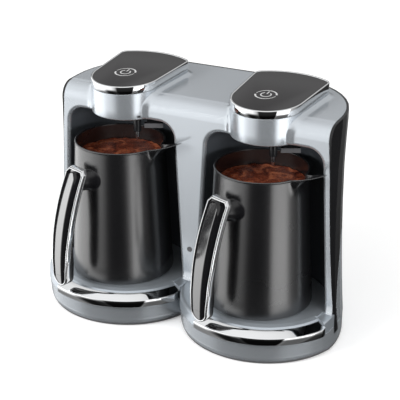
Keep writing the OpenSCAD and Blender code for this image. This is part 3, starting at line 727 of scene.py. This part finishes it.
# half width of the shell, whose back corners are rounded in plan
def shellWidth(y, z, s=shell):
    hw = s["topWidth"] + s["flare"] * max(0, 1 - z / s["roof"]) ** 2
    foot, waist, top = s["plan"]
    upper = min(1, max(0, (z - s["waistZ"]) / s["waistHigh"]))
    r = lerp(foot, waist, z / s["waistZ"]) if z < s["waistZ"] else lerp(waist, top, upper)
    inset = lerp(*s["inset"], upper)
    hw, r, back = hw - inset, r - inset, s["back"] - inset
    if y <= back - r:
        return hw
    return hw - r + math.sqrt(max(0.0, r * r - (y - back + r) ** 2))


def makeShell(s):
    outlines = []
    for side in stations:
        outline = headOutline(0)[::3]
        outlines.append([(x + stations[side] + head["shift"][side], y) for x, y in outline])
    bm = bmesh.new()

    # point of the shell, moved along its normal by the fillets round it
    def put(x, y, z, nx, ny, nz):
        rise = 0.0
        if z > s["headFilletZ"][0]:
            rise = filletRise(headDistance(x, y, outlines), s["headFillet"]) * smooth(*s["headFilletZ"], z)
        if z < s["deck"] + s["deckFillet"]:
            rise = max(rise, filletRise(z - s["deck"], s["deckFillet"]))
        return (x + nx * rise, axisY + y + ny * rise, z + nz * rise)

    walls, tops, cornerZ = s["wallPoints"], s["topPoints"], s["ceiling"] - s["corner"]
    wallZ = [lerp(s["low"], cornerZ, k / walls) for k in range(walls)]

    def nicheRadius(z):
        up = (max(z, s["nicheZ"]) - s["nicheZ"]) / (s["ceiling"] - s["nicheZ"])
        return lerp(s["nicheLow"], s["nicheHigh"], up)

    # outline of a niche, grown by g, from its left foot over the top to its right foot
    def nicheCurve(g):
        left = [(-nicheRadius(z) - g, z) for z in wallZ]
        cornerX = nicheRadius(cornerZ) - s["corner"]
        left += arc(-cornerX, cornerZ, s["corner"] + g, 180, 90, s["bendPoints"])
        top = [(lerp(-cornerX, cornerX, k / tops), s["ceiling"] + g) for k in range(1, tops)]
        return left + top + [(-x, z) for x, z in reversed(left)]

    # the face spans from the niche's outline to the shell's: up to the point first it meets the side,
    # from there to the point crown it spreads along the top, and above the niche it goes straight up
    first, crown = walls + s["sidePoints"] - 1, walls + s["bendPoints"]
    rollZ = s["roof"] - s["roll"]
    topXs = set()
    for side in stations:
        cx = stations[side]
        inner = nicheCurve(s["edge"])
        outer = []
        count = len(inner)
        for i, (x, z) in enumerate(inner):
            leftHalf = i < count / 2
            k = i if leftHalf else count - 1 - i
            if k < walls:
                zo = wallZ[k]
            elif k <= first:
                zo = lerp(wallZ[-1] + s["sideStart"], rollZ, (k - walls + 1) / s["sidePoints"])
            else:
                zo = rollZ
            wide = shellWidth(s["face"], zo)
            low, high = (-wide, 0.0) if side == "left" else (0.0, wide)
            if k <= first:
                xo = low if leftHalf else high
            elif k > crown:
                xo = cx + x
            elif leftHalf:
                xo = lerp(low, cx + inner[crown][0], (k - first) / (crown - first))
            else:
                xo = lerp(cx + inner[-1 - crown][0], high, (crown - k) / (crown - first))
            if k > first:
                topXs.add(round(xo / shellWidth(s["face"], rollZ), 6))
            outer.append((xo, zo))
        topXs.update((low / wide, high / wide))
        # rounded edge of the niche, then the face
        rows = []
        for k in range(s["edgeSteps"], 0, -1):
            a = math.radians(90 * k / s["edgeSteps"])
            g, y = s["edge"] * (1 - math.sin(a)), s["face"] + s["edge"] * (1 - math.cos(a))
            rows.append([put(cx + x, y, z, 0, -math.cos(a), 0) for x, z in nicheCurve(g)])
        for k in range(s["bands"] + 1):
            t = k / s["bands"]
            rows.append([put(lerp(cx + xi, xo, t), s["face"], lerp(zi, zo, t), 0, -1, 0)
                         for (xi, zi), (xo, zo) in zip(inner, outer)])
        loft(bm, rows, wrap=False)

    # roll and roof
    fractions = sorted(topXs)
    rows = []
    for k in range(s["rollSteps"] + 1):
        a = math.radians(lerp(180, s["rollEnd"], k / s["rollSteps"]))
        y, z = s["face"] + s["roll"] * (1 + math.cos(a)), rollZ + s["roll"] * math.sin(a)
        rows.append([put(f * shellWidth(y, z), y, z, 0, math.cos(a), math.sin(a)) for f in fractions])
    startY, endY = y, s["back"] - s["inset"][1]
    for k in range(1, s["roofSteps"] + 1):
        y = lerp(startY, endY, 1 - (1 - k / s["roofSteps"]) ** s["roofEase"])
        z = roofHeight(y)
        rows.append([put(f * shellWidth(y, z), y, z, 0, -s["slope"], 1) for f in fractions])
    loft(bm, rows, wrap=False)
    bmesh.ops.remove_doubles(bm, verts=bm.verts, dist=s["weld"] * mm)
    bmesh.ops.recalc_face_normals(bm, faces=bm.faces)
    bm.normal_update()
    if sum(f.normal.z for f in bm.faces if f.calc_center_median().z > s["roofAbove"] * mm) < 0:
        bmesh.ops.reverse_faces(bm, faces=bm.faces)
        bm.normal_update()
    # turn the open edges inwards so that the sheet has a thickness
    rim = [e for e in bm.edges if e.is_boundary]
    normals = {v: v.normal.copy() for e in rim for v in e.verts}
    out = bmesh.ops.extrude_edge_only(bm, edges=rim)
    for v in [g for g in out["geom"] if isinstance(g, bmesh.types.BMVert)]:
        source = min(normals, key=lambda o: (o.co - v.co).length_squared)
        v.co -= normals[source] * s["sheet"] * mm
    obj = addPiece("shell_front", bm, "machine", silverMat, sharp=45)
    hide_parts("front_shell")


makeShell(shell)


print("bright rings")
ring = {
    "y": 11.0, "inner": 61.0, "innerHigh": 27.1, "outer": 73.0, "high": 26.2, "low": 20.0, "start": -24.0,
    "cut": [(57.5, -12.3), (66.8, -18.6)], "side": 64.7, "gap": 0.1, "lean": 36.0, "flat": (38, 52),
    "foot": 18.1, "footOuter": 69.2, "corner": 0.3, "round": 0.9, "roundTo": 1.0, "roundFrom": 82,
    "topRows": (0.1, 0.35, 0.65, 0.9, 1.0), "fall": 0.02, "bevel": 0.4, "steps": 120, "leanOver": 5,
    "leanInner": 0.6, "leanLeast": 0.05, "topFacing": 0.9}


def makeRing(side, s):
    cx = stations[side]
    # section from the inner foot over the top and down the outer face
    topFrom, topTo = s["inner"] + s["corner"], s["outer"] - s["roundTo"]
    section = [(s["inner"], s["foot"]), (s["inner"], s["innerHigh"] - s["corner"]), (topFrom, s["innerHigh"])]
    section += [(lerp(topFrom, topTo, t), lerp(s["innerHigh"], s["high"] + s["fall"], t))
                for t in s["topRows"]]
    section += arc(s["outer"] - s["round"], s["high"] - s["round"], s["round"], s["roundFrom"], 0, 8)
    section += [(s["outer"], s["low"] + s["bevel"]), (s["outer"] - s["corner"], s["low"]),
                (s["footOuter"], s["foot"])]
    (x0, y0), (x1, y1) = s["cut"]
    end = []
    for r, z in section:
        # the right end runs out along the cut
        t = 0.0
        for tries in range(30):
            px, py = x0 + (x1 - x0) * t, y0 + (y1 - y0) * t
            t += (r - math.hypot(px, py - s["y"])) / math.hypot(x1 - x0, y1 - y0)
        end.append(math.degrees(math.atan2(px, s["y"] - py)))
    rows = []
    for k in range(s["steps"] + 1):
        row = []
        for (r, z), last in zip(section, end):
            a = math.radians(lerp(s["start"], last, k / s["steps"]))
            x, y = r * math.sin(a), s["y"] - r * math.cos(a)
            # the two rings meet at the middle
            if side == "left":
                x = min(x, -cx - s["gap"])
            else:
                x = min(max(x, -cx + s["gap"]), s["side"])
            row.append((cx + x, axisY + y, z))
        rows.append(row)
    bm = bmesh.new()
    made = loft(bm, rows, wrap=False)
    bm.faces.new(made[0])
    bm.faces.new(made[-1])
    obj = addPiece("ring_" + side, bm, "machine", chromeMat, sharp=40, tidy=True)
    # the top is softly crowned in the shading, and flat towards its right end
    mesh = obj.data
    normals = [n.vector.copy() for n in mesh.corner_normals]
    for poly in mesh.polygons:
        if poly.normal.z < s["topFacing"]:
            continue
        for k in poly.loop_indices:
            v = mesh.vertices[mesh.loops[k].vertex_index].co / mm
            x, y = v.x - cx, v.y - axisY - s["y"]
            a = math.degrees(math.atan2(x, -y))
            r = math.hypot(x, y)
            grow = lerp(s["leanInner"], 1, smooth(s["inner"], s["inner"] + s["leanOver"], r))
            lean = math.radians(s["lean"] * grow * (1 - smooth(*s["flat"], a)))
            if lean > s["leanLeast"]:
                normals[k] = Vector((x / r * math.sin(lean), y / r * math.sin(lean), math.cos(lean)))
    mesh.normals_split_custom_set(normals)
    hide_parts("base_ring_" + side)


for side in stations:
    makeRing(side, ring)


print("coffee")
coffee = {
    "level": 128.0, "radius": 35.55, "rings": 26, "sides": 96, "foam": 26.0, "foamFrom": 0.8,
    "swell": [(3.0, 0.12, 0.5), (9.0, 0.4, 0.25)], "foamNoise": (5.0, 0.2), "foamLeast": 0.6,
    "colors": [(0.3, (0.045, 0.008, 0.004)), (0.5, (0.17, 0.038, 0.018)), (0.66, (0.42, 0.13, 0.06))],
    "clouds": {"Scale": 90.0, "Detail": 6.0, "Distortion": 1.2}, "bubbles": 420.0, "roughness": (0.18, 0.42),
    "bump": 0.5, "bumpDepth": 0.4}


def makeCoffeeMat(s):
    mat, tree, bsdf = newMaterial("brewedCoffee")
    coords = addNode(tree, "ShaderNodeTexCoord")
    cloud = addNode(tree, "ShaderNodeTexNoise")
    for label, value in s["clouds"].items():
        cloud.inputs[label].default_value = value
    cells = addNode(tree, "ShaderNodeTexVoronoi", feature="SMOOTH_F1")
    cells.inputs["Scale"].default_value = s["bubbles"]
    link(tree, coords.outputs["Object"], cloud.inputs["Vector"])
    link(tree, coords.outputs["Object"], cells.inputs["Vector"])
    ramp = addNode(tree, "ShaderNodeValToRGB")
    fillRamp(ramp.color_ramp, [(at, (*color, 1)) for at, color in s["colors"]])
    link(tree, cloud.outputs[0], ramp.inputs["Fac"])
    link(tree, ramp.outputs[0], bsdf.inputs["Base Color"])
    link(tree, mapTo(tree, cells.outputs["Distance"], *s["roughness"]), bsdf.inputs["Roughness"])
    bump = addNode(tree, "ShaderNodeBump")
    bump.inputs["Strength"].default_value = s["bump"]
    bump.inputs["Distance"].default_value = s["bumpDepth"] * mm
    link(tree, cells.outputs["Distance"], bump.inputs["Height"])
    link(tree, bump.outputs["Normal"], bsdf.inputs["Normal"])
    return mat


coffeeMat = makeCoffeeMat(coffee)


def makeCoffee(side, s):
    bm = bmesh.new()
    cx, cy = stations[side], axisY

    def ripple(x, y, layer, scale):
        return noise.noise(Vector((x, y, layer)) * scale)

    centre = bm.verts.new(Vector((cx, cy, s["level"])) * mm)
    last = None
    for k in range(1, s["rings"] + 1):
        t = k / s["rings"]
        r = s["radius"] * t
        circle = []
        for i in range(s["sides"]):
            a = 2 * math.pi * i / s["sides"]
            x, y = cx + r * math.cos(a), cy + r * math.sin(a)
            swell = sum(ripple(x, y, layer, scale) * high for layer, scale, high in s["swell"])
            uneven = s["foamLeast"] + ripple(x, y, *s["foamNoise"])
            foam = s["foam"] * max(0.0, t - s["foamFrom"]) ** 2 * uneven
            z = s["level"] + swell * (1 - t) + foam
            circle.append(bm.verts.new(Vector((x, y, z)) * mm))
        for i in range(s["sides"]):
            j = (i + 1) % s["sides"]
            if last:
                bm.faces.new((last[i], circle[i], circle[j], last[j]))
            else:
                bm.faces.new((centre, circle[i], circle[j]))
        last = circle
    obj = addPiece("coffee_" + side, bm, "pot_" + side, coffeeMat)


for side in stations:
    makeCoffee(side, coffee)


print("touch icons")
icon = {
    "centre": (-3.6, 19.5), "sink": 0.3, "lift": 0.05, "ring": 8.2, "power": 4.0, "line": 1.0, "gap": 34,
    "barLow": 1.6, "barHigh": 6.4, "halves": [(12, 178), (192, 358)], "swell": (1.5, 0.5)}


def makeIcon(side, s):
    bm = bmesh.new()
    tilt = math.radians(head["tilt"])

    # a point on the glass, u to the right and v up from the icon's middle
    def place(u, v):
        y = s["centre"][1] + v
        point = Vector((stations[side] + head["shift"][side] + s["centre"][0] + u,
                        axisY + y * math.cos(tilt) - s["lift"] * math.sin(tilt),
                        head["panelZ"] - s["sink"] + y * math.sin(tilt) + s["lift"] * math.cos(tilt)))
        return bm.verts.new(point * mm)

    # arc from one angle to the other whose line swells or thins on the way
    def stroke(radius, start, end, thick, thin, steps=40):
        last = None
        for i in range(steps + 1):
            a = math.radians(lerp(start, end, i / steps))
            w = lerp(thick, thin, i / steps) / 2
            pair = [place((radius + d) * math.cos(a), (radius + d) * math.sin(a)) for d in (-w, w)]
            if last:
                bm.faces.new((last[0], last[1], pair[1], pair[0]))
            last = pair

    for start, end in s["halves"]:
        stroke(s["ring"], start, end, *s["swell"])
    stroke(s["power"], 90 + s["gap"], 450 - s["gap"], s["line"], s["line"])
    w = s["line"] / 2
    low, high = s["barLow"], s["barHigh"]
    bm.faces.new([place(x, y) for x, y in ((-w, low), (w, low), (w, high), (-w, high))])
    bm.normal_update()
    for f in bm.faces:
        if f.normal.z < 0:
            f.normal_flip()
    obj = addPiece("touch_icon_" + side, bm, "machine", iconMat)


for side in stations:
    makeIcon(side, icon)


print("studio")
floor = {
    "half": 4.0, "color": (0.93, 0.93, 0.93), "glow": 0.22, "grain": 60.0, "dim": 0.99, "roughness": 0.75}


def makeFloor(s):
    bm = bmesh.new()
    h = s["half"]
    bm.faces.new([bm.verts.new((x, y, 0)) for x, y in ((-h, -h), (h, -h), (h, h), (-h, h))])
    mesh = bpy.data.meshes.new("floor")
    bm.to_mesh(mesh)
    bm.free()
    obj = bpy.data.objects.new("floor", mesh)
    scene.collection.objects.link(obj)
    mat, tree, bsdf = newMaterial("paleFloor")
    grain = useGroup(tree, fineGrain, Scale=s["grain"])
    low = tuple(c * s["dim"] for c in s["color"])
    link(tree, mixColors(tree, grain.outputs["Mask"], low, s["color"]), bsdf.inputs["Base Color"])
    bsdf.inputs["Roughness"].default_value = s["roughness"]
    bsdf.inputs["Emission Color"].default_value = (1, 1, 1, 1)
    bsdf.inputs["Emission Strength"].default_value = s["glow"]
    mesh.materials.append(mat)
    # the machine mirrors the studio, not the floor
    obj.visible_glossy = False
    obj.visible_diffuse = False


makeFloor(floor)

# studio walls by direction, in degrees from straight in front round to the right: brightness, and the share
# of it that is left at their foot
studio = {
    "walls": [(-180, 0.35, 0.4), (-168, 0.35, 0.4), (-164, 0.03, 0.4), (-128, 0.03, 0.4), (-122, 1.8, 0.32),
              (-112, 2.8, 0.32), (-54, 2.8, 0.32), (-46, 1.8, 0.2), (-38, 1.35, 0.03), (-22, 1.15, 0.02),
              (-10, 0.6, 0.1), (-3, 0.02, 0.5), (48, 0.02, 0.5), (54, 4.4, 0.1), (84, 4.4, 0.1),
              (93, 0.5, 0.3), (118, 0.15, 0.4), (127, 0.03, 0.4), (165, 0.03, 0.4), (174, 0.35, 0.4),
              (180, 0.35, 0.4)],
    "front": 1.0, "back": 0.64, "scale": 4.4, "fade": (-0.5, -0.3), "cap": 1.35, "capFrom": (-0.35, -0.28),
    "foot": 0.25, "footFrom": (-0.6, -0.505), "least": 0.01, "ceilingFrom": (-0.6, 0.6),
    "ceilingOver": (0.15, 0.55)}


def makeWorld(s):
    world = bpy.data.worlds.new("studioWorld")
    scene.world = world
    world.use_nodes = True
    tree = world.node_tree
    shader = tree.nodes["Background"]
    coords = addNode(tree, "ShaderNodeTexCoord")
    split = addNode(tree, "ShaderNodeSeparateXYZ")
    link(tree, coords.outputs["Generated"], split.inputs[0])
    turn = mathNode(tree, "ARCTAN2", split.outputs["X"], mathNode(tree, "MULTIPLY", split.outputs["Y"], -1.0))
    spot = rangeNode(tree, turn, -math.pi, math.pi)
    ramp = addNode(tree, "ShaderNodeValToRGB")
    fillRamp(ramp.color_ramp, [((angle + 180) / 360, (value / s["scale"], kept, 0, 1))
                               for angle, value, kept in s["walls"]])
    link(tree, spot.outputs[0], ramp.inputs["Fac"])
    parts = addNode(tree, "ShaderNodeSeparateColor")
    link(tree, ramp.outputs[0], parts.inputs[0])
    walls = mathNode(tree, "MULTIPLY", parts.outputs[0], s["scale"])
    # the walls darken towards their foot
    fade = rangeNode(tree, split.outputs["Z"], *s["fade"])
    link(tree, parts.outputs[1], fade.inputs["To Min"])
    walls = mathNode(tree, "MULTIPLY", walls, fade.outputs[0])
    walls = mathNode(tree, "MAXIMUM", walls, s["least"])
    # and the ground in front of them is dim
    foot = rangeNode(tree, split.outputs["Z"], *s["footFrom"], low=s["foot"], soft=True)
    walls = mathNode(tree, "MULTIPLY", walls, foot.outputs[0])
    # above table height none of them is brighter than this
    cap = rangeNode(tree, split.outputs["Z"], *s["capFrom"], s["scale"], s["cap"], soft=True)
    walls = mathNode(tree, "MINIMUM", walls, cap.outputs[0])
    # the ceiling is bright in front and greyer at the back
    ceiling = rangeNode(tree, split.outputs["Y"], *s["ceilingFrom"], s["front"], s["back"], soft=True)
    height = rangeNode(tree, split.outputs["Z"], *s["ceilingOver"], soft=True)
    room = addNode(tree, "ShaderNodeMix", data_type="FLOAT")
    link(tree, height.outputs[0], room.inputs["Factor"])
    link(tree, walls, room.inputs["A"])
    link(tree, ceiling.outputs[0], room.inputs["B"])
    path = addNode(tree, "ShaderNodeLightPath")
    seen = addNode(tree, "ShaderNodeMix", data_type="FLOAT")
    link(tree, path.outputs["Is Camera Ray"], seen.inputs["Factor"])
    link(tree, room.outputs["Result"], seen.inputs["A"])
    seen.inputs["B"].default_value = 1.0
    link(tree, seen.outputs["Result"], shader.inputs["Strength"])
    shader.inputs["Color"].default_value = (1, 1, 1, 1)


makeWorld(studio)


def makeLight(name, place, target, size, power):
    data = bpy.data.lights.new(name, "AREA")
    data.shape = "RECTANGLE"
    data.size, data.size_y = size
    data.energy = power
    obj = bpy.data.objects.new(name, data)
    scene.collection.objects.link(obj)
    obj.location = place
    obj.rotation_mode = "QUATERNION"
    obj.rotation_quaternion = (Vector(target) - Vector(place)).to_track_quat("-Z", "Y")
    obj.visible_glossy = False


# name: place, target, size in metres and power in watts
lights = {
    "keySoftbox": ((-0.8, -1.2, 0.75), (0, 0, 0.14), (0.8, 0.6), 21),
    "rimSoftbox": ((1.2, -0.1, 0.7), (0, 0, 0.1), (0.5, 0.9), 3),
    "fillSoftbox": ((0.9, -0.45, 0.2), (0, 0, 0.1), (0.3, 0.3), 4)}
for lightName, values in lights.items():
    makeLight(lightName, *values)

scene.view_settings.view_transform = "Standard"
